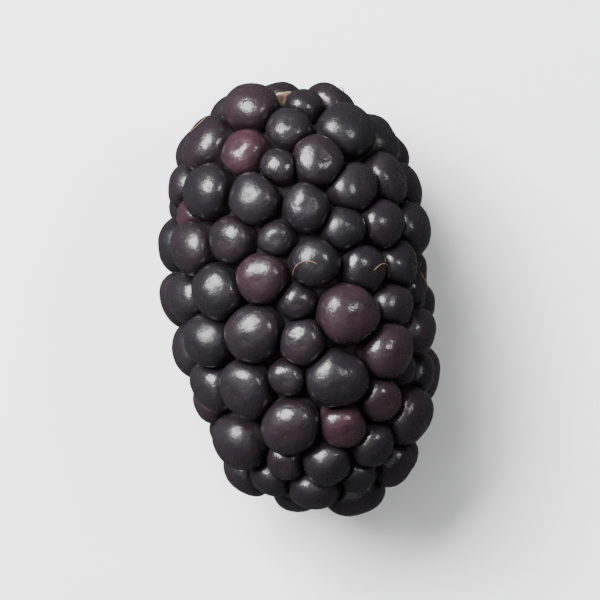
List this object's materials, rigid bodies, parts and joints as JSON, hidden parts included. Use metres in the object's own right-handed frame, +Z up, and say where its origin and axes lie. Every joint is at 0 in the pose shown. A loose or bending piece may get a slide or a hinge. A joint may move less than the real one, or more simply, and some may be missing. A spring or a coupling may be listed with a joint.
{
  "type": "bramble berry",
  "caption": "Picked bramble berry lying on its side: a tapered head of small round drupelets pressed together, with the pale end of its core in a dimple at the stem end.",
  "frame": {"origin": "middle of the berry's footprint, on the surface that it lies on", "axes": "+Y from the tip towards the stem end, along the berry's length; +Z up; +X to the right seen from above with the stem end away from the viewer"},
  "size_m": [0.0212, 0.034, 0.0197],
  "materials": {
    "drupelet_skin": "thin, taut, glossy fruit skin, purple-black over dark juice, with a few wine-red drupelets",
    "receptacle_pith": "matt, fibrous, pale green-cream pith stained with juice at its edge"
  },
  "bodies": {
    "root": {"drupelets": "drupelet_skin", "receptacle": "receptacle_pith"}
  },
  "joints": []
}
